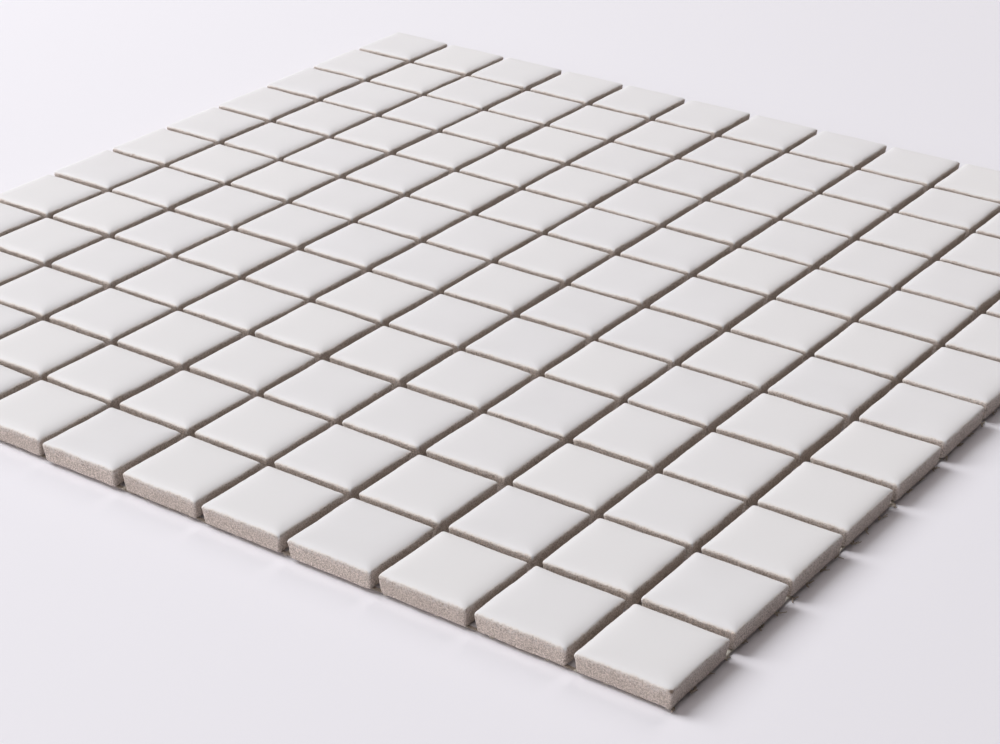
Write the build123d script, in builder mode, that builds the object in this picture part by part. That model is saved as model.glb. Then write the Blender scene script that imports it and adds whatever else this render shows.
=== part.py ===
"""Mosaic sheet: square glazed ceramic chips in rows, held by a glass-fibre mesh on their backs.

Millimetres. +Z is up and the sheet lies flat, glazed faces up. The origin is the middle of the
underside. The mesh lies on the XY plane and the chips stand on it.
"""

import os

from build123d import *

# Chips: pressed, glazed and fired squares, laid in a square pattern with open joints
chip_side = 23.0
chip_thickness = 5.8
chips_along_x = 12
chips_along_y = 12
joint_width = 2.0

# Edges of one chip: blunt upright corners, a cushioned glazed rim over a crisp edge, sides that
# draw in towards the back and a small bevel round the back
corner_cut = 0.5
rim_width = 2.4
rim_drop = 0.85
shoulder_width = 0.6
shoulder_drop = 0.4
side_draft = 0.4
back_bevel_width = 0.7
back_bevel_height = 0.8

# Mesh: flat yarns both ways, bonded where they cross, with loose ends along Y
yarn_spacing = 7.0
yarn_width = 1.1
mesh_thickness = 0.5
yarn_overhang = 1.4
yarn_setback = 1.3
mesh_bands = 5

# Sizes that follow from these
chip_pitch = chip_side + joint_width
sheet_length_x = chips_along_x * chip_pitch - joint_width
sheet_length_y = chips_along_y * chip_pitch - joint_width
mesh_length_x = sheet_length_x - 2 * yarn_setback
mesh_length_y = sheet_length_y + 2 * yarn_overhang
yarns_along_x = int((sheet_length_y - yarn_width) // yarn_spacing) + 1
yarns_along_y = int((mesh_length_x - yarn_width) // yarn_spacing) + 1

chip_back = mesh_thickness
chip_face = chip_back + chip_thickness
chip_levels = [
    (chip_back, side_draft + back_bevel_width),
    (chip_back + back_bevel_height, side_draft),
    (chip_face - rim_drop, 0.0),
    (chip_face - shoulder_drop, shoulder_width),
    (chip_face, rim_width),
]

os.makedirs("parts", exist_ok=True)

# One chip over the origin: blunt-cornered squares joined by flat faces, from its back up to its face
with BuildPart() as chip:
    for height, inset in chip_levels:
        with BuildSketch(Plane.XY.offset(height)) as level:
            Rectangle(chip_side - 2 * inset, chip_side - 2 * inset)
            chamfer(level.vertices(), corner_cut)
    loft(ruled=True)

# Rows of chips along X, from the front row at -Y to the back row
for row in range(chips_along_y):
    row_y = (row - (chips_along_y - 1) / 2) * chip_pitch
    with BuildPart() as chip_row:
        with Locations((0, row_y, 0)):
            with GridLocations(chip_pitch, 0, chips_along_x, 1):
                add(chip.part)
    row_name = f"chip_row_{row + 1:02d}"
    chip_row.part.label = row_name
    export_step(chip_row.part, f"parts/{row_name}.step")

# Backing mesh in bands that meet between two yarns: yarns along X cross every yarn along Y
for band in range(mesh_bands):
    first_yarn = band * yarns_along_x // mesh_bands
    last_yarn = (band + 1) * yarns_along_x // mesh_bands - 1
    first_y = (first_yarn - (yarns_along_x - 1) / 2) * yarn_spacing
    last_y = (last_yarn - (yarns_along_x - 1) / 2) * yarn_spacing
    front_y = -mesh_length_y / 2 if band == 0 else first_y - yarn_spacing / 2
    back_y = mesh_length_y / 2 if band == mesh_bands - 1 else last_y + yarn_spacing / 2
    with BuildPart() as mesh_band:
        with BuildSketch():
            with Locations((0, (first_y + last_y) / 2)):
                with GridLocations(0, yarn_spacing, 1, last_yarn - first_yarn + 1):
                    Rectangle(mesh_length_x, yarn_width)
            with Locations((0, (front_y + back_y) / 2)):
                with GridLocations(yarn_spacing, 0, yarns_along_y, 1):
                    Rectangle(yarn_width, back_y - front_y)
        extrude(amount=mesh_thickness)
    band_name = f"backing_mesh_{band + 1}"
    mesh_band.part.label = band_name
    export_step(mesh_band.part, f"parts/{band_name}.step")
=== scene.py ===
"""Dresses the mosaic sheet: glazed chips with rough bare sides, on a woven glass-fibre mesh.

Lengths are metres. They are millimetres where a name ends in mm, and while chips, yarns and strands are
being shaped about their own places. +X runs along the rows of chips and +Y across them.
"""

import math

import bpy
import numpy as np
from mathutils import Matrix, Vector


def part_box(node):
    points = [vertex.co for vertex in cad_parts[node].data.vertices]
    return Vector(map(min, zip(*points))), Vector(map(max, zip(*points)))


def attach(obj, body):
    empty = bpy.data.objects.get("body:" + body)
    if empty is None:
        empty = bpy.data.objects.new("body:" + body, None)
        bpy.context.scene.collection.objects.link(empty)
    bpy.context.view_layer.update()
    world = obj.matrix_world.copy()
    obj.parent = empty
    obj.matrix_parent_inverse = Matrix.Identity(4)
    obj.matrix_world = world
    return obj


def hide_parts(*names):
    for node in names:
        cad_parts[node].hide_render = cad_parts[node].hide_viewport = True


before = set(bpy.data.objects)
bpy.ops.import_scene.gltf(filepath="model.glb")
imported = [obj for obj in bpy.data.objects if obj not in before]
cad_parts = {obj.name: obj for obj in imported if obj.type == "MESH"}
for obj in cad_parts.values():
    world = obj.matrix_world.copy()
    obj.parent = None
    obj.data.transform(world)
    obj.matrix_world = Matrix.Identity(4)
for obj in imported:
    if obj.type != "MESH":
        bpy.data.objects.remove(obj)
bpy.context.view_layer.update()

MM = 0.001
SEED = 20

# The pattern of chips, read from the frame
ROW_NAMES = sorted(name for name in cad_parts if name.startswith("chip_row_"))
MESH_NAMES = sorted(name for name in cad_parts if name.startswith("backing_mesh_"))
CHIPS_IN_ROW = 12
ROW_LOW, ROW_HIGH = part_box(ROW_NAMES[0])
CHIP_SIDE = ROW_HIGH[1] - ROW_LOW[1]
CHIP_BACK = ROW_LOW[2]
CHIP_FACE = ROW_HIGH[2]
CHIP_PITCH = (ROW_HIGH[0] - ROW_LOW[0] - CHIP_SIDE) / (CHIPS_IN_ROW - 1)
CHIP_HALF_MM = CHIP_SIDE / MM / 2
CHIP_THICKNESS_MM = (CHIP_FACE - CHIP_BACK) / MM

# One chip's section: a bevel at the back, drafted sides, a tight arris and a cushioned face
CORNER_RADIUS_MM = 0.5
CORNER_GROWTH = 0.35
CORNER_LIMIT = 0.45
BACK_INSET_MM = 1.2
BACK_BEVEL_MM = 0.5
BEVEL_CURVE = 1.6
DRAFT_MM = 0.4
ARRIS_MM = 0.35
CROWN_DROP_MM = 0.96
CROWN_LENGTH_MM = 1.25

# Where the glaze ends: its drop from the face, how fast it thickens inwards and its runs at corners
LIP_DROP_MM = 0.86
LIP_INWARD = 0.7
CORNER_RUN_MM = 1.0

# Where the section has rings: shares of the bevel and of the side, then insets across the face
BEVEL_SHARES = (0.0, 0.09, 0.43, 1.0)
SIDE_SHARES = (0.05, 0.3, 0.6, 0.85, 1.0)
FACE_INSETS_MM = (0.015, 0.06, 0.13, 0.22, 0.34, 0.52, 0.8, 1.2, 1.8, 2.7, 4.4, 7.5)

# Where a ring has points, and the share of each quarter of its length that a corner takes
SIDE_POINTS = 24
CORNER_POINTS = 5
CORNER_SHARE = 0.06
QUARTER_TURN = np.array([[0, -1], [1, 0]])

# How unevenly the chips were pressed and laid
PLACE_SPREAD_MM = 0.13
PLACE_LIMIT_MM = 0.25
TURN_SPREAD_DEG = 0.22
TILT_SPREAD_DEG = 0.12
SIDE_SPREAD_MM = 0.05
CORNER_SPREAD_MM = 0.1
SIDE_ROUGHNESS_MM = 0.03
ROUGH_UP_TO_MM = -0.2
RIPPLE_REACH_MM = 0.8

# Ripples round a chip: fewest waves, most waves and size in mm
LIP_RIPPLES = ((2, 8, 0.08), (9, 40, 0.07))
EDGE_RIPPLE = (2, 9, 0.035)
BEAD_RIPPLE = (14, 40, 0.02)
CROWN_RIPPLE = (1, 6, 0.05)

# Nicks in the rims, and the knocked corner of the front chip, placed from that chip's middle
NICKS_ON_CHIP = 0.2
NICK_SIZES_MM = (0.3, 0.65)
NICK_SHADE = 0.35
NICK_INWARD = 0.35
NICK_DOWN = 0.3
NICK_BARES_MM = 2.5
NICK_REACH = 0.85
CORNER_NICK_MM = (-11.4, -11.4, 5.0)
CORNER_NICK_SIZE_MM = 0.9

# The woven mesh
YARN_SPACING_MM = 7.0
EDGE_YARN_SHIFT_MM = 0.45
YARN_COUNT = 43
YARN_WIDTH_MM = 1.1
YARN_THICKNESS_MM = 0.26
YARN_SIDES = 6
YARN_STEPS = 4
YARN_SWING = 0.92
YARN_PLACE_SPREAD_MM = 0.07
YARN_SNAKE_MM = 0.1
YARN_SNAKE_LENGTHS_MM = (18, 40)
YARN_SWELL = 0.12
YARN_SWELL_LENGTHS_MM = (6, 12)
YARN_PHASES = (0, 6.3)
CUT_BACK_MM = (0.2, 0.7)
CUT_WIDTHS = (0.7, 1.2)
CUT_THICKNESSES = (0.8, 1.4)
# Painted shade on the first and last yarns along Y, which lie in the shaded feet of the joints
EDGE_YARN_PAINTED_SHADE = 0.75

# Loose strands of the cut yarns, with headings in radians from straight out towards +X
CLUMP_STRANDS = (3, 4)
CLUMP_HEADINGS = (1.15, 1.75)
CLUMP_LENGTHS_MM = (0.6, 1.5)
CLUMP_SIZES_MM = (0.35, 0.55)
HAIRS = (0, 1)
HAIR_HEADING = 0.9
HAIR_HEADING_SPREAD = 0.35
HAIR_LENGTHS_MM = (0.8, 1.8)
HAIR_SIZES_MM = (0.24, 0.36)
STRAND_STEPS = 5
STRAND_SIDES = 5
STRAND_BEND = 0.8
STRAND_START_SPREAD = 0.4
STRAND_LOWEST = 0.4
STRAND_RISE_MM = 0.1
STRAND_TAPER = 0.4
STRAND_FLATNESS = 0.75
STRAND_CLEARANCE_MM = 0.25
STRAND_LOOSENESS = (0.7, 1.0)

# The glaze: colours of its clouds, the tint that chips have more or less of, and its thin edge
GLAZE_CLOUDS = ((0.716, 0.713, 0.737), (0.739, 0.738, 0.764))
GLAZE_TINT = (0.743, 0.740, 0.757)
GLAZE_THIN = (0.742, 0.712, 0.694)
GLAZE_RAGGED_MM = 0.24
GLAZE_FADE_MM = (-0.3, 0.25)
GLAZE_THICKENS_MM = (0.0, 0.7)
GLAZE_ROUGHNESS = 0.52
GLAZE_BUMP = 0.012

# The bare body: colours of its grain, painted darker as shade on sides that face along Y and lighter as
# light on sides that face along X, and of what lies over it
BODY_SHADED_FACING_Y = ((0.28, 0.237, 0.206), (0.72, 0.629, 0.576))
BODY_LIT_FACING_X = ((0.38, 0.325, 0.286), (0.89, 0.788, 0.728))
BODY_PATCH = (0.66, 0.578, 0.526)
BODY_PATCH_SHARE = 0.25
BODY_DUSK = (0.46, 0.395, 0.35)
BODY_DUSK_SHARE = 0.3
BODY_BROKEN = (0.25, 0.19, 0.155)
BODY_BROKEN_RANGE = (0.1, 0.6)
BODY_ROUGHNESS = 0.9
BODY_BUMP = 0.24
CHIP_SPECULAR = 0.28

# Glaze sprayed past its edge: the way down over which it thins out, and how much it covers
SPRAY_COLOUR = (0.66, 0.61, 0.585)
SPRAY_THINS_MM = (-3.4, 0.1)
SPRAY_GAIN = (-0.4, 0.1)
SPRAY_COVER = (0.0, 0.85)

# The yarns: colours of their fibres, of dried adhesive, and of loose strands, which also serves as
# painted shade on the edge yarns along Y
YARN_FIBRES = ((0.50, 0.46, 0.40), (0.78, 0.75, 0.69))
YARN_BLOTCH = (0.70, 0.66, 0.58)
YARN_LOOSE_AND_SHADE = (0.35, 0.295, 0.25)
YARN_ROUGHNESS = 0.55
YARN_BUMP_MM = 0.05
FIBRE_SCALE = 0.06

# Noise over the surfaces: features per metre and detail, then the part of its range that shows
EDGE_NOISE, EDGE_RANGE = (1800.0, 3.0), (0.25, 0.75)
CLOUD_NOISE, CLOUD_RANGE = (60.0, 3.0), (0.3, 0.7)
GRAIN_NOISE, GRAIN_RANGE = (2900.0, 4.0), (0.38, 0.64)
PATCH_NOISE, PATCH_RANGE = (350.0, 2.0), (0.35, 0.65)
SPRAY_NOISE, SPRAY_RANGE = (2100.0, 2.0), (0.42, 0.6)
FIBRE_NOISE, FIBRE_RANGE = (4000.0, 3.0), (0.3, 0.7)
BLOTCH_NOISE, BLOTCH_RANGE = (260.0, 2.0), (0.35, 0.65)
RIPPLE_NOISE = (320.0, 2.0)

# The camera, solved from the grid of chips in the photograph
IMAGE_WIDTH_PX = 1000
FOCAL_PX = 2157.3
SENSOR_MM = 36.0
CLIP_START = 0.01
CAMERA_AZIMUTH_DEG = -54.89
CAMERA_ELEVATION_DEG = 26.74
CAMERA_ROLL_DEG = -0.365
CAMERA_DISTANCE = 0.5438
TARGET_DROP_MM = 0.6
CAMERA_TARGET = Vector((-0.05573, -0.0421, CHIP_FACE - TARGET_DROP_MM * MM))

# The light: a soft key from the photo's far left, weaker fills from both ends of X and an even surround
KEY_AZIMUTH_DEG = -163.0
KEY_ELEVATION_DEG = 47.5
KEY_SIZE = (1.45, 2.25)
KEY_DISTANCE = 2.75
KEY_POWER = 84.5
KEY_COLOUR = (1.0, 1.0, 1.0)
FILL_AZIMUTHS_DEG = (-90.0, 90.0)
FILL_ELEVATIONS_DEG = (25.0, 40.0)
FILL_SIZE = (1.5, 2.0)
FILL_DISTANCE = 3.8
FILL_POWER = 33.0
FILL_COLOUR = (1.0, 0.93, 0.90)
WORLD_COLOUR = (1.0, 0.91, 0.87)
WORLD_STRENGTH = 0.045
BACKDROP_STRENGTH = 0.95

# The floor
FLOOR_COLOUR = (0.825, 0.817, 0.873)
FLOOR_ROUGHNESS = 0.9
FLOOR_SPECULAR = 0.1
FLOOR_SIZE = 6.0
FLOOR_DROP_MM = 0.1


def node(tree, kind, **values):
    """Adds a shader node and sets its properties."""
    made = tree.nodes.new(kind)
    for name, value in values.items():
        setattr(made, name, value)
    return made


def new_material(name):
    """A new material, its node tree and its Principled shader."""
    material = bpy.data.materials.new(name)
    material.use_nodes = True
    tree = material.node_tree
    return material, tree, tree.nodes["Principled BSDF"]


def noise(tree, coords, features, detail):
    """A noise texture over coordinates in metres, with so many features per metre."""
    made = node(tree, "ShaderNodeTexNoise")
    made.inputs["Scale"].default_value = features
    made.inputs["Detail"].default_value = detail
    tree.links.new(coords, made.inputs["Vector"])
    return made.outputs["Fac"]


def remap(tree, value, source, target=(0.0, 1.0)):
    """Maps a range of values to another, clamped."""
    made = node(tree, "ShaderNodeMapRange")
    made.inputs["From Min"].default_value = source[0]
    made.inputs["From Max"].default_value = source[1]
    made.inputs["To Min"].default_value = target[0]
    made.inputs["To Max"].default_value = target[1]
    tree.links.new(value, made.inputs["Value"])
    return made.outputs["Result"]


def maths(tree, operation, first, second):
    """One sum on two values, each a socket or a number."""
    made = node(tree, "ShaderNodeMath", operation=operation)
    for socket, value in zip(made.inputs, (first, second)):
        if isinstance(value, float):
            socket.default_value = value
        else:
            tree.links.new(value, socket)
    return made.outputs["Value"]


def blend(tree, factor, first, second):
    """Mixes two colours, each a socket or an RGB triple."""
    made = node(tree, "ShaderNodeMix", data_type="RGBA")
    tree.links.new(factor, made.inputs["Factor"])
    colours = [socket for socket in made.inputs if socket.type == "RGBA"]
    for socket, value in zip(colours, (first, second)):
        if isinstance(value, tuple):
            socket.default_value = (*value, 1.0)
        else:
            tree.links.new(value, socket)
    return next(socket for socket in made.outputs if socket.type == "RGBA")


def attribute(tree, name):
    """A number stored on the mesh."""
    return node(tree, "ShaderNodeAttribute", attribute_name=name).outputs["Fac"]


def object_coords(tree):
    """Coordinates in metres that stay with the piece."""
    return node(tree, "ShaderNodeTexCoord").outputs["Object"]


def add_bump(tree, shader, height, distance):
    """Lets a height shade the surface as small bumps."""
    bump = node(tree, "ShaderNodeBump")
    bump.inputs["Strength"].default_value = 1.0
    bump.inputs["Distance"].default_value = distance
    tree.links.new(height, bump.inputs["Height"])
    tree.links.new(bump.outputs["Normal"], shader.inputs["Normal"])


def glaze_colour(tree, coords, tone, reach):
    """Cloudy white glaze that thins out towards its edge."""
    cloudy = remap(tree, noise(tree, coords, *CLOUD_NOISE), CLOUD_RANGE)
    white = blend(tree, cloudy, *GLAZE_CLOUDS)
    toned = blend(tree, tone, white, GLAZE_TINT)
    return blend(tree, remap(tree, reach, GLAZE_THICKENS_MM), GLAZE_THIN, toned)


def body_colour(tree, coords, tone, grain, glaze_mm):
    """Grainy fired body, painted darker as shade where it faces along Y and lighter as light where it
    faces along X, with paler patches, sprayed glaze and darker broken places.
    """
    grainy = remap(tree, grain, GRAIN_RANGE)
    # Painted shade and light: a darker copy of the grain for sides facing along Y, a lighter copy for
    # sides facing along X
    shaded_facing_y = blend(tree, grainy, *BODY_SHADED_FACING_Y)
    lit_facing_x = blend(tree, grainy, *BODY_LIT_FACING_X)
    plain = blend(tree, attribute(tree, "lit_facing_x"), shaded_facing_y, lit_facing_x)
    patchy = remap(tree, noise(tree, coords, *PATCH_NOISE), PATCH_RANGE)
    patched = blend(tree, maths(tree, "MULTIPLY", patchy, BODY_PATCH_SHARE), plain, BODY_PATCH)
    bare = blend(tree, maths(tree, "MULTIPLY", tone, BODY_DUSK_SHARE), patched, BODY_DUSK)
    spray_gain = remap(tree, glaze_mm, SPRAY_THINS_MM, SPRAY_GAIN)
    spray_dots = maths(tree, "ADD", noise(tree, coords, *SPRAY_NOISE), spray_gain)
    sprayed = blend(tree, remap(tree, spray_dots, SPRAY_RANGE, SPRAY_COVER), bare, SPRAY_COLOUR)
    broken = remap(tree, attribute(tree, "broken"), BODY_BROKEN_RANGE)
    return blend(tree, broken, sprayed, BODY_BROKEN)


def chip_material():
    """White satin glaze over a bare, grainy fired body; the mesh says where the glaze ends."""
    material, tree, shader = new_material("glazed_chip")
    coords = object_coords(tree)
    glaze_mm = attribute(tree, "glaze_mm")
    tone = attribute(tree, "tone")
    grain = noise(tree, coords, *GRAIN_NOISE)

    edge_noise = noise(tree, coords, *EDGE_NOISE)
    ragged = remap(tree, edge_noise, EDGE_RANGE, (-GLAZE_RAGGED_MM, GLAZE_RAGGED_MM))
    reach = maths(tree, "ADD", glaze_mm, ragged)
    glazed = remap(tree, reach, GLAZE_FADE_MM)

    glaze = glaze_colour(tree, coords, tone, reach)
    body = body_colour(tree, coords, tone, grain, glaze_mm)
    tree.links.new(blend(tree, glazed, body, glaze), shader.inputs["Base Color"])

    roughness = remap(tree, glazed, (0.0, 1.0), (BODY_ROUGHNESS, GLAZE_ROUGHNESS))
    tree.links.new(roughness, shader.inputs["Roughness"])
    shader.inputs["Specular IOR Level"].default_value = CHIP_SPECULAR

    ripple = noise(tree, coords, *RIPPLE_NOISE)
    heights = node(tree, "ShaderNodeMix", data_type="FLOAT")
    tree.links.new(glazed, heights.inputs["Factor"])
    tree.links.new(maths(tree, "MULTIPLY", grain, BODY_BUMP), heights.inputs["A"])
    tree.links.new(maths(tree, "MULTIPLY", ripple, GLAZE_BUMP), heights.inputs["B"])
    add_bump(tree, shader, heights.outputs["Result"], MM)
    return material


def yarn_material(name, scale):
    """Off-white glass yarn: fibres run lengthwise, so the noise is drawn out along the yarn."""
    material, tree, shader = new_material(name)
    coords = object_coords(tree)
    mapping = node(tree, "ShaderNodeMapping")
    mapping.inputs["Scale"].default_value = scale
    tree.links.new(coords, mapping.inputs["Vector"])
    fibres = noise(tree, mapping.outputs["Vector"], *FIBRE_NOISE)
    fibre_colour = blend(tree, remap(tree, fibres, FIBRE_RANGE), *YARN_FIBRES)
    blotchy = remap(tree, noise(tree, coords, *BLOTCH_NOISE), BLOTCH_RANGE)
    cloth = blend(tree, blotchy, fibre_colour, YARN_BLOTCH)
    # Loose strands take their own darker colour, and the edge yarns along Y take it as painted shade
    colour = blend(tree, attribute(tree, "loose_and_shade"), cloth, YARN_LOOSE_AND_SHADE)
    tree.links.new(colour, shader.inputs["Base Color"])
    shader.inputs["Roughness"].default_value = YARN_ROUGHNESS
    add_bump(tree, shader, fibres, YARN_BUMP_MM * MM)
    return material


def floor_material():
    """Plain pale floor."""
    material, _, shader = new_material("floor")
    shader.inputs["Base Color"].default_value = (*FLOOR_COLOUR, 1.0)
    shader.inputs["Roughness"].default_value = FLOOR_ROUGHNESS
    shader.inputs["Specular IOR Level"].default_value = FLOOR_SPECULAR
    return material


def add_mesh(name, points, faces, materials):
    """A new smooth mesh object from points in metres and faces as lists of point numbers."""
    mesh = bpy.data.meshes.new(name)
    mesh.from_pydata(points, [], faces)
    for material in materials:
        mesh.materials.append(material)
    mesh.polygons.foreach_set("use_smooth", [True] * len(mesh.polygons))
    mesh.update()
    made = bpy.data.objects.new(name, mesh)
    bpy.context.scene.collection.objects.link(made)
    return made


def store(piece, name, values):
    """Stores one number for each point of a piece's mesh."""
    made = piece.data.attributes.new(name, "FLOAT", "POINT")
    made.data.foreach_set("value", np.asarray(values, dtype=np.float32))


def rounded_square():
    """Where each outline point lies: centre, outward direction and way round, for a unit square.

    A point is (half - radius) * spread + radius * outward. The way round goes from 0 to 1.
    """
    side_share = 1 - CORNER_SHARE
    spread, outward, run = [], [], []
    for side in range(4):
        turn = np.linalg.matrix_power(QUARTER_TURN, side)
        for along in np.linspace(-1.0, 1.0, SIDE_POINTS):
            spread.append(turn @ (1.0, along))
            outward.append(turn @ (1.0, 0.0))
            run.append(side + (along + 1.0) * (side_share / 2))
        for step in range(1, CORNER_POINTS + 1):
            part = step / (CORNER_POINTS + 1)
            angle = part * math.pi / 2
            spread.append(turn @ (1.0, 1.0))
            outward.append(turn @ (math.cos(angle), math.sin(angle)))
            run.append(side + side_share + CORNER_SHARE * part)
    return np.array(spread), np.array(outward), np.array(run) / 4.0


def crown(inset):
    """How far the cushioned face has dropped, in mm, at a distance in from its edge."""
    return CROWN_DROP_MM * np.exp(-inset / CROWN_LENGTH_MM)


def arris(inset):
    """How much further the tight round at the very edge drops, in mm."""
    part = np.clip(1 - inset / ARRIS_MM, 0, 1)
    return ARRIS_MM * (1 - np.sqrt(1 - part ** 2))


def chip_section():
    """Rings from a chip's back up to its face: height, inset and way from the glaze's edge, in mm."""
    top = CHIP_THICKNESS_MM
    wall_top = top - CROWN_DROP_MM - ARRIS_MM
    rings = []
    for part in BEVEL_SHARES:
        bevel_inset = (BACK_INSET_MM - DRAFT_MM) * (1 - part) ** BEVEL_CURVE
        rings.append((part * BACK_BEVEL_MM, DRAFT_MM + bevel_inset))
    for part in SIDE_SHARES:
        rings.append((BACK_BEVEL_MM + part * (wall_top - BACK_BEVEL_MM), DRAFT_MM * (1 - part)))
    for inset in FACE_INSETS_MM:
        rings.append((top - crown(inset) - arris(inset), inset))
    rings = np.array(rings)
    way_up = rings[:, 0] - (top - LIP_DROP_MM)
    way_in = np.where(way_up > 0, LIP_INWARD * rings[:, 1], 0)
    return np.column_stack([rings, way_up + way_in])


def chip_faces():
    """Point numbers of one chip's faces: bands between rings, closed by fans at back and face."""
    rings = len(SECTION)
    size = len(RUN)
    faces = []
    for ring in range(rings - 1):
        low = ring * size
        high = low + size
        for i in range(size):
            j = (i + 1) % size
            faces.append((low + i, low + j, high + j, high + i))
    back, face = rings * size, rings * size + 1
    top = (rings - 1) * size
    for i in range(size):
        j = (i + 1) % size
        faces.append((back, j, i))
        faces.append((face, top + i, top + j))
    return faces


# What all chips share; the last two points of a chip, the middles of its back and face, face no way
SPREAD, OUTWARD, RUN = rounded_square()
SECTION = chip_section()
CHIP_FACES = chip_faces()
# How much each point's side faces along X: it picks the lighter grain painted as light over the darker
# grain painted as shade
LIT_FACING_X = np.concatenate([np.tile(OUTWARD[:, 0] ** 2, len(SECTION)), [0.5, 0.5]])


def waves(rng, fewest, most, size):
    """A smooth closed ripple round the outline, from a band of whole wave numbers."""
    total = np.zeros_like(RUN)
    numbers = np.arange(fewest, most + 1)
    for number in numbers:
        phase = rng.uniform(0, 2 * math.pi)
        total += rng.normal() * np.sin(2 * math.pi * number * RUN + phase)
    return total * size / math.sqrt(len(numbers) / 2)


def chip_points(rng):
    """One chip about its own middle, in mm: points and way up from the glaze's edge."""
    ring_size = len(RUN)
    half = CHIP_HALF_MM + rng.normal(0, SIDE_SPREAD_MM)
    heights = np.repeat(SECTION[:, 0:1], ring_size, axis=1)
    insets = np.repeat(SECTION[:, 1:2], ring_size, axis=1)
    glaze = np.repeat(SECTION[:, 2:3], ring_size, axis=1)
    lip_wave = sum(waves(rng, *ripple) for ripple in LIP_RIPPLES)
    edge_wave = waves(rng, *EDGE_RIPPLE)
    bead_wave = waves(rng, *BEAD_RIPPLE)
    crown_wave = waves(rng, *CROWN_RIPPLE)
    for ring, (_, inset, way_up) in enumerate(SECTION):
        rim = math.exp(-(inset / RIPPLE_REACH_MM) ** 2)
        if way_up > ROUGH_UP_TO_MM:
            insets[ring] += (edge_wave + bead_wave) * rim
            heights[ring] += crown_wave * crown(inset) / CROWN_DROP_MM
        else:
            insets[ring] += edge_wave + rng.normal(0, SIDE_ROUGHNESS_MM, ring_size)
    on_corner = 2 * np.abs(OUTWARD[:, 0] * OUTWARD[:, 1])
    quarter = 2 * (OUTWARD[:, 0] > 0) + (OUTWARD[:, 1] > 0)
    glaze += lip_wave + on_corner * rng.uniform(0, CORNER_RUN_MM, 4)[quarter]
    radius = CORNER_RADIUS_MM + CORNER_GROWTH * SECTION[:, 1] + abs(rng.normal(0, CORNER_SPREAD_MM))
    radius = np.minimum(radius, CORNER_LIMIT * (half - SECTION[:, 1]))[:, None]
    reach = half - insets - radius
    plan = reach[..., None] * SPREAD[None] + radius[..., None] * OUTWARD[None]
    points = np.concatenate([plan, heights[..., None]], axis=2).reshape(-1, 3)
    middles = np.array([[0.0, 0.0, 0.0], [0.0, 0.0, CHIP_THICKNESS_MM]])
    points = np.concatenate([points, middles])
    glaze = np.concatenate([glaze.reshape(-1), [SECTION[0, 2], SECTION[-1, 2]]])
    return points, glaze


def nick(points, glaze, place, size):
    """Knocks a small piece off a chip's rim: pushes points in and bares the body there."""
    away = np.linalg.norm(points - place, axis=1)
    near = np.clip(1 - away / size, 0, 1)
    inward = -points * (1, 1, 0)
    inward /= np.linalg.norm(inward, axis=1, keepdims=True) + 1e-9
    points += near[:, None] * (inward * NICK_INWARD - (0, 0, NICK_DOWN)) * size
    glaze -= NICK_BARES_MM * near
    return near


def rim_place(rng):
    """A place on a chip's rim, away from its corners."""
    along = rng.uniform(-NICK_REACH, NICK_REACH) * CHIP_HALF_MM
    turn = np.linalg.matrix_power(QUARTER_TURN, rng.integers(4))
    return np.array([*(turn @ (CHIP_HALF_MM, along)), CHIP_THICKNESS_MM - LIP_DROP_MM])


def turned(points, degrees, tilt_x, tilt_y):
    """Turns a chip about its middle and tilts its face a little, keeping its back on the mesh."""
    angle = math.radians(degrees)
    cos, sin = math.cos(angle), math.sin(angle)
    out = points.copy()
    out[:, 0] = cos * points[:, 0] - sin * points[:, 1]
    out[:, 1] = sin * points[:, 0] + cos * points[:, 1]
    lift = points[:, 2] / CHIP_THICKNESS_MM
    slope_x = math.tan(math.radians(tilt_x))
    slope_y = math.tan(math.radians(tilt_y))
    rise = slope_x * out[:, 0] + slope_y * out[:, 1]
    out[:, 2] += lift * (rise - abs(rise).max())
    return out


def laid_chip(rng, column_x, row_y, knocked):
    """One chip in its place, in metres: points, way up from the glaze's edge and how broken it is."""
    points, glaze = chip_points(rng)
    broken = np.zeros(len(points))
    for _ in range(rng.poisson(NICKS_ON_CHIP)):
        place = rim_place(rng)
        broken += NICK_SHADE * nick(points, glaze, place, rng.uniform(*NICK_SIZES_MM))
    if knocked:
        broken += nick(points, glaze, np.array(CORNER_NICK_MM), CORNER_NICK_SIZE_MM)
    tilt_x, tilt_y = rng.normal(0, TILT_SPREAD_DEG, 2)
    points = turned(points, rng.normal(0, TURN_SPREAD_DEG), tilt_x, tilt_y) * MM
    shift = np.clip(rng.normal(0, PLACE_SPREAD_MM, 2), -PLACE_LIMIT_MM, PLACE_LIMIT_MM) * MM
    points += (column_x + shift[0], row_y + shift[1], CHIP_BACK)
    return points, glaze, broken


def add_chip_row(name, material, rng):
    """One row of chips as one piece, each chip with its own small errors."""
    low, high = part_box(name)
    row_y = (low[1] + high[1]) / 2
    points, faces, glaze, broken, tone = [], [], [], [], []
    for column in range(CHIPS_IN_ROW):
        column_x = (column - (CHIPS_IN_ROW - 1) / 2) * CHIP_PITCH
        knocked = name == ROW_NAMES[0] and column == 0
        chip, chip_glaze, chip_broken = laid_chip(rng, column_x, row_y, knocked)
        first = column * len(chip)
        points.append(chip)
        faces += [tuple(number + first for number in face) for face in CHIP_FACES]
        glaze.append(chip_glaze)
        broken.append(chip_broken)
        tone.append(np.full(len(chip), rng.uniform(0, 1)))
    piece = add_mesh(f"glazed_{name}", np.concatenate(points).tolist(), faces, [material])
    store(piece, "glaze_mm", np.concatenate(glaze))
    store(piece, "broken", np.concatenate(broken))
    store(piece, "tone", np.concatenate(tone))
    # Stores which sides take the lighter grain painted as light rather than the darker grain painted as
    # shade
    store(piece, "lit_facing_x", np.tile(LIT_FACING_X, CHIPS_IN_ROW))
    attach(piece, "root")
    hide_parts(name)


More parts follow.
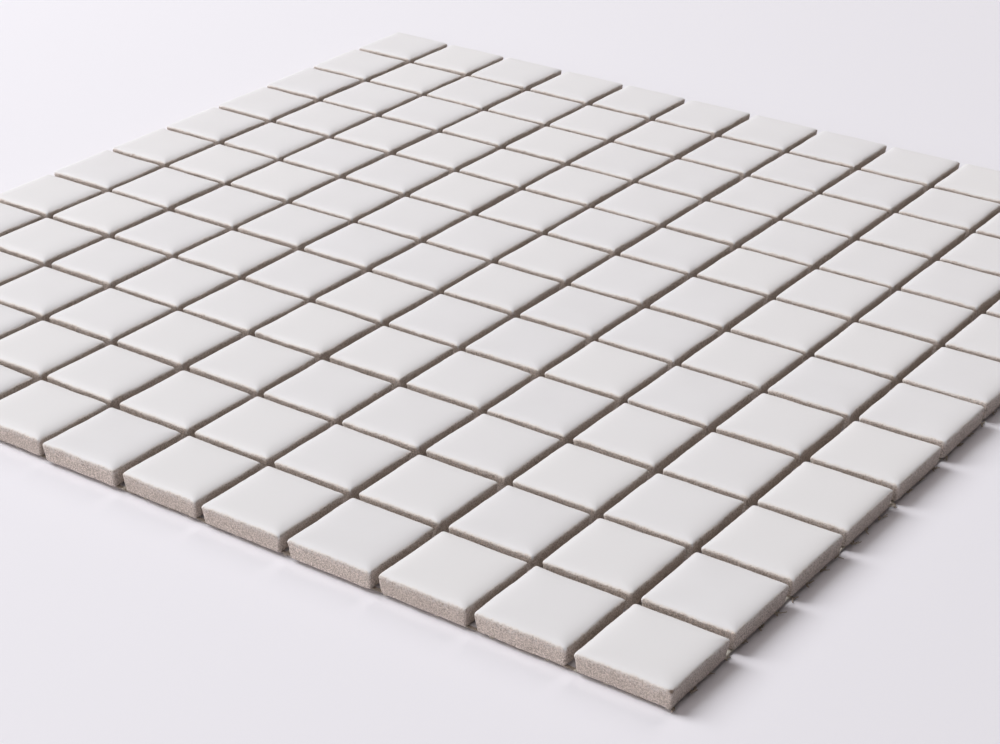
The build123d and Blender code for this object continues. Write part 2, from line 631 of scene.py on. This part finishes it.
def tube(path, widths, thicknesses, across, sides):
    """Rings of a flat oval tube along a path, with closed ends; returns points and faces."""
    angles = np.arange(sides) * 2 * math.pi / sides
    up = np.tile([0.0, 0.0, 1.0], (len(path), 1))
    ring = np.cos(angles)[None, :, None] * across[:, None, :] * (widths / 2)[:, None, None]
    ring = ring + np.sin(angles)[None, :, None] * up[:, None, :] * (thicknesses / 2)[:, None, None]
    points = (path[:, None, :] + ring).reshape(-1, 3)
    last = (len(path) - 1) * sides
    faces = []
    for low in range(0, last, sides):
        for i in range(sides):
            j = (i + 1) % sides
            faces.append((low + i, low + j, low + sides + j, low + sides + i))
    faces.append(tuple(range(sides - 1, -1, -1)))
    faces.append(tuple(last + i for i in range(sides)))
    return points, faces


def yarn(rng, place_mm, low_mm, high_mm, along_x, phase):
    """One yarn that passes over and under the yarns it crosses.

    Returns its points and faces, its middle line and how loose it is at each point.
    """
    steps = int(round((high_mm - low_mm) / YARN_SPACING_MM * YARN_STEPS))
    run = np.linspace(low_mm, high_mm, steps + 1)
    middle = CHIP_BACK / MM / 2
    swing = middle - YARN_THICKNESS_MM / 2
    height = middle + swing * YARN_SWING * np.cos(math.pi * run / YARN_SPACING_MM + phase)
    offset = rng.normal(0, YARN_PLACE_SPREAD_MM)
    snake = np.sin(run / rng.uniform(*YARN_SNAKE_LENGTHS_MM) + rng.uniform(*YARN_PHASES))
    side = place_mm + (offset + YARN_SNAKE_MM * snake)
    swell = np.sin(run / rng.uniform(*YARN_SWELL_LENGTHS_MM) + rng.uniform(*YARN_PHASES))
    widths = YARN_WIDTH_MM * (1 + YARN_SWELL * swell)
    thicknesses = np.full(len(run), YARN_THICKNESS_MM)
    loose_and_shade = np.zeros(len(run))
    if along_x:
        path = np.stack([run, side, height], axis=1)
        across = np.tile([0.0, 1.0, 0.0], (len(run), 1))
    else:
        path = np.stack([side, run, height], axis=1)
        across = np.tile([-1.0, 0.0, 0.0], (len(run), 1))
        loose_and_shade[[0, -1]] = 1.0
        widths[[0, -1]] *= rng.uniform(*CUT_WIDTHS, 2)
        thicknesses[[0, -1]] *= rng.uniform(*CUT_THICKNESSES, 2)
    points, faces = tube(path, widths, thicknesses, across, YARN_SIDES)
    return points, faces, path, np.repeat(loose_and_shade, YARN_SIDES)


def strand(rng, start, outward, room_mm, heading, length_mm, size_mm):
    """One loose strand that wanders away from a cut yarn and stays close to the floor."""
    part = np.linspace(0, 1, STRAND_STEPS)
    headings = heading + rng.normal(0, STRAND_BEND) * part
    step = length_mm / (STRAND_STEPS - 1)
    start_side = start[0] + rng.uniform(-STRAND_START_SPREAD, STRAND_START_SPREAD) * YARN_WIDTH_MM
    side = start_side + np.cumsum(np.sin(headings)) * step
    away = np.minimum(np.cumsum(np.cos(headings)) * step, room_mm)
    low, high = STRAND_LOWEST * size_mm, CHIP_BACK / MM + STRAND_RISE_MM
    height = np.clip(start[2] + (rng.uniform(low, high) - start[2]) * part, low, high)
    path = np.stack([side, start[1] + outward * away, height], axis=1)
    across = np.stack([-outward * np.cos(headings), np.sin(headings), 0 * headings], axis=1)
    sizes = size_mm * (1 - STRAND_TAPER * part)
    return tube(path, sizes, STRAND_FLATNESS * sizes, across, STRAND_SIDES)


def frayed_end(rng, start, outward, room_mm):
    """Strands of one cut yarn: a clump along the chips' foot and hairs that lean towards +X."""
    strands = []
    for _ in range(rng.integers(*CLUMP_STRANDS, endpoint=True)):
        heading = rng.choice((-1, 1)) * rng.uniform(*CLUMP_HEADINGS)
        length = rng.uniform(*CLUMP_LENGTHS_MM)
        size = rng.uniform(*CLUMP_SIZES_MM)
        strands.append(strand(rng, start, outward, room_mm, heading, length, size))
    for _ in range(rng.integers(*HAIRS, endpoint=True)):
        heading = rng.normal(HAIR_HEADING, HAIR_HEADING_SPREAD)
        length = rng.uniform(*HAIR_LENGTHS_MM)
        size = rng.uniform(*HAIR_SIZES_MM)
        strands.append(strand(rng, start, outward, room_mm, heading, length, size))
    return strands


def woven_yarns(rng):
    """Yarns along X, then yarns along Y that end in loose strands.

    Each is its points in mm, its faces, the number of its material and how loose its points are, or how
    much painted shade they take.
    """
    places = (np.arange(YARN_COUNT) - (YARN_COUNT - 1) / 2) * YARN_SPACING_MM
    edge_shift = np.zeros(YARN_COUNT)
    edge_shift[[0, -1]] = -EDGE_YARN_SHIFT_MM, EDGE_YARN_SHIFT_MM
    boxes = [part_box(name) for name in MESH_NAMES]
    low_x = min(low[0] for low, high in boxes) / MM
    high_x = max(high[0] for low, high in boxes) / MM
    low_y = min(low[1] for low, high in boxes) / MM
    high_y = max(high[1] for low, high in boxes) / MM
    chips_end = -ROW_LOW[1] / MM
    made = []
    for number, place in enumerate(places + edge_shift):
        points, faces, _, loose_and_shade = yarn(rng, place, low_x, high_x, True, math.pi * number)
        made.append((points, faces, 0, loose_and_shade))
    for number, place in enumerate(places):
        low_end = -chips_end + rng.uniform(*CUT_BACK_MM)
        high_end = chips_end - rng.uniform(*CUT_BACK_MM)
        points, faces, path, loose_and_shade = yarn(rng, place, low_end, high_end, False, math.pi * (number + 1))
        # The first and last yarns along Y are darkened towards the loose strands' colour as painted
        # shade
        if number in (0, YARN_COUNT - 1):
            loose_and_shade = np.maximum(loose_and_shade, EDGE_YARN_PAINTED_SHADE)
        made.append((points, faces, 1, loose_and_shade))
        for start, outward, limit in ((path[0], -1, low_y), (path[-1], 1, high_y)):
            room = abs(limit - start[1]) - STRAND_CLEARANCE_MM
            for points, faces in frayed_end(rng, start, outward, room):
                loose_and_shade = np.full(len(points), rng.uniform(*STRAND_LOOSENESS))
                made.append((points, faces, 1, loose_and_shade))
    return made


def add_backing_mesh(rng):
    """The whole mesh as one piece, with a material for each way that its yarns run."""
    all_points, all_faces, numbers, all_loose_and_shade = [], [], [], []
    count = 0
    for points, faces, number, loose_and_shade in woven_yarns(rng):
        all_points.append(points * MM)
        all_faces += [tuple(i + count for i in face) for face in faces]
        numbers += [number] * len(faces)
        all_loose_and_shade.append(loose_and_shade)
        count += len(points)
    materials = [
        yarn_material("glass_yarn_along_x", (FIBRE_SCALE, 1.0, 1.0)),
        yarn_material("glass_yarn_along_y", (1.0, FIBRE_SCALE, 1.0)),
    ]
    piece = add_mesh("woven_backing_mesh", np.concatenate(all_points).tolist(), all_faces, materials)
    piece.data.polygons.foreach_set("material_index", numbers)
    # Stores looseness, and the painted shade on the edge yarns along Y
    store(piece, "loose_and_shade", np.concatenate(all_loose_and_shade))
    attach(piece, "root")
    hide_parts(*MESH_NAMES)


def add_floor():
    """A wide pale floor just under the sheet."""
    half = FLOOR_SIZE / 2
    corners = [(-half, -half, 0.0), (half, -half, 0.0), (half, half, 0.0), (-half, half, 0.0)]
    floor = add_mesh("floor", corners, [(0, 1, 2, 3)], [floor_material()])
    floor.location.z = -FLOOR_DROP_MM * MM


def direction(azimuth_deg, elevation_deg):
    """Unit vector from the object towards a place seen at that azimuth; 0 is towards -Y."""
    azimuth = math.radians(azimuth_deg)
    elevation = math.radians(elevation_deg)
    flat = math.cos(elevation)
    return Vector((math.sin(azimuth) * flat, -math.cos(azimuth) * flat, math.sin(elevation)))


def add_camera():
    """The photograph's camera."""
    back = direction(CAMERA_AZIMUTH_DEG, CAMERA_ELEVATION_DEG)
    right = (-back).cross(Vector((0, 0, 1))).normalized()
    up = right.cross(-back).normalized()
    roll = math.radians(CAMERA_ROLL_DEG)
    rolled_right = math.cos(roll) * right - math.sin(roll) * up
    rolled_up = math.sin(roll) * right + math.cos(roll) * up
    data = bpy.data.cameras.new("camera")
    data.sensor_width = SENSOR_MM
    data.lens = FOCAL_PX / IMAGE_WIDTH_PX * SENSOR_MM
    data.clip_start = CLIP_START
    camera = bpy.data.objects.new("camera", data)
    bpy.context.scene.collection.objects.link(camera)
    turn = Matrix((rolled_right, rolled_up, back)).transposed().to_4x4()
    camera.matrix_world = Matrix.Translation(CAMERA_TARGET + back * CAMERA_DISTANCE) @ turn
    bpy.context.scene.camera = camera


def add_lamp(name, towards, distance, size, power, colour):
    """A soft lamp, of a width and a height, aimed at the middle of the sheet."""
    data = bpy.data.lights.new(name, "AREA")
    data.shape = "RECTANGLE"
    data.size, data.size_y = size
    data.energy = power
    data.color = colour
    lamp = bpy.data.objects.new(name, data)
    lamp.location = towards * distance
    lamp.rotation_mode = "QUATERNION"
    lamp.rotation_quaternion = (-towards).to_track_quat("-Z", "Y")
    bpy.context.scene.collection.objects.link(lamp)


def add_lights():
    """Key and fill lamps in an even surround, which is brighter where it is seen or mirrored."""
    key_side = direction(KEY_AZIMUTH_DEG, KEY_ELEVATION_DEG)
    add_lamp("key", key_side, KEY_DISTANCE, KEY_SIZE, KEY_POWER, KEY_COLOUR)
    for azimuth_deg, elevation_deg in zip(FILL_AZIMUTHS_DEG, FILL_ELEVATIONS_DEG):
        fill_side = direction(azimuth_deg, elevation_deg)
        add_lamp("fill", fill_side, FILL_DISTANCE, FILL_SIZE, FILL_POWER, FILL_COLOUR)
    world = bpy.data.worlds.new("surround")
    world.use_nodes = True
    tree = world.node_tree
    shade = tree.nodes["Background"]
    shade.inputs["Color"].default_value = (*WORLD_COLOUR, 1.0)
    rays = node(tree, "ShaderNodeLightPath").outputs
    seen = maths(tree, "MAXIMUM", rays["Is Camera Ray"], rays["Is Glossy Ray"])
    seen = maths(tree, "MAXIMUM", seen, rays["Is Transmission Ray"])
    strength = remap(tree, seen, (0.0, 1.0), (WORLD_STRENGTH, BACKDROP_STRENGTH))
    tree.links.new(strength, shade.inputs["Strength"])
    bpy.context.scene.world = world


glazed_chip = chip_material()
draws = np.random.default_rng(SEED)
for row_name in ROW_NAMES:
    add_chip_row(row_name, glazed_chip, draws)
add_backing_mesh(draws)
add_floor()
add_camera()
add_lights()
bpy.context.scene.view_settings.view_transform = "Standard"
